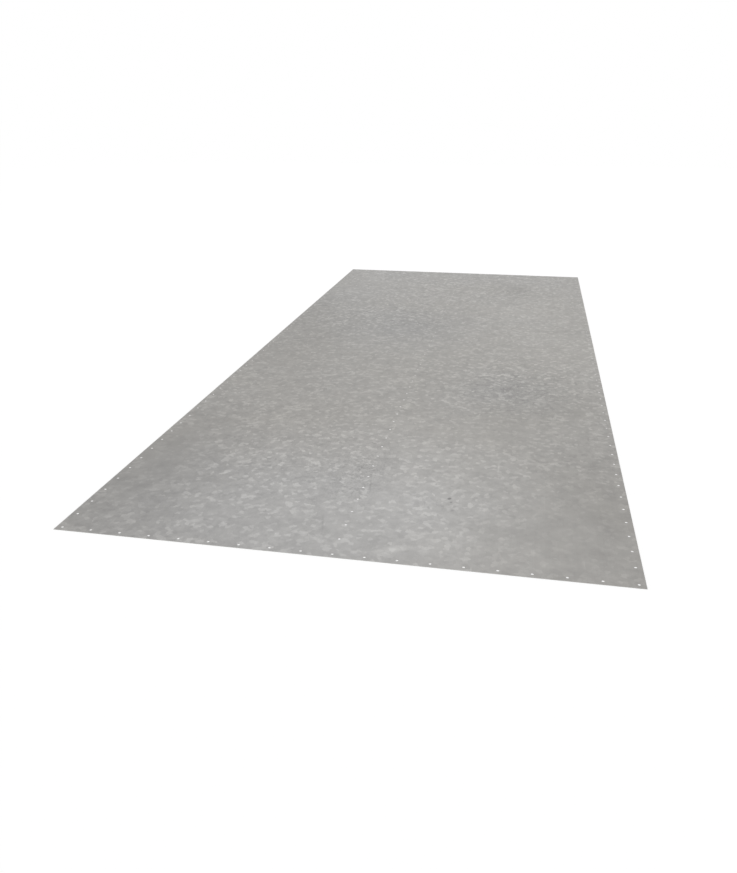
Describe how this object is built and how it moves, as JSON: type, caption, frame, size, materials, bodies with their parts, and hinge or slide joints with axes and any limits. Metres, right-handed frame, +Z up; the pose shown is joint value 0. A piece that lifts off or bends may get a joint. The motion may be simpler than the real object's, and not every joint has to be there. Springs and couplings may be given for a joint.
{
  "type": "galvanised steel plate",
  "caption": "Thin flat rectangular galvanised steel plate with small punched fixing holes along every edge and down the middle.",
  "frame": {"origin": "middle of the underside, on the floor that the plate lies on", "axes": "+Y along the length, +X across the width, +Z up out of the upper face"},
  "size_m": [0.9, 2.4, 0.0005],
  "materials": {
    "galvanised_steel": "hot-dip zinc, matt grey with spangle"
  },
  "bodies": {
    "root": {"steel_plate": "galvanised_steel"}
  },
  "joints": []
}
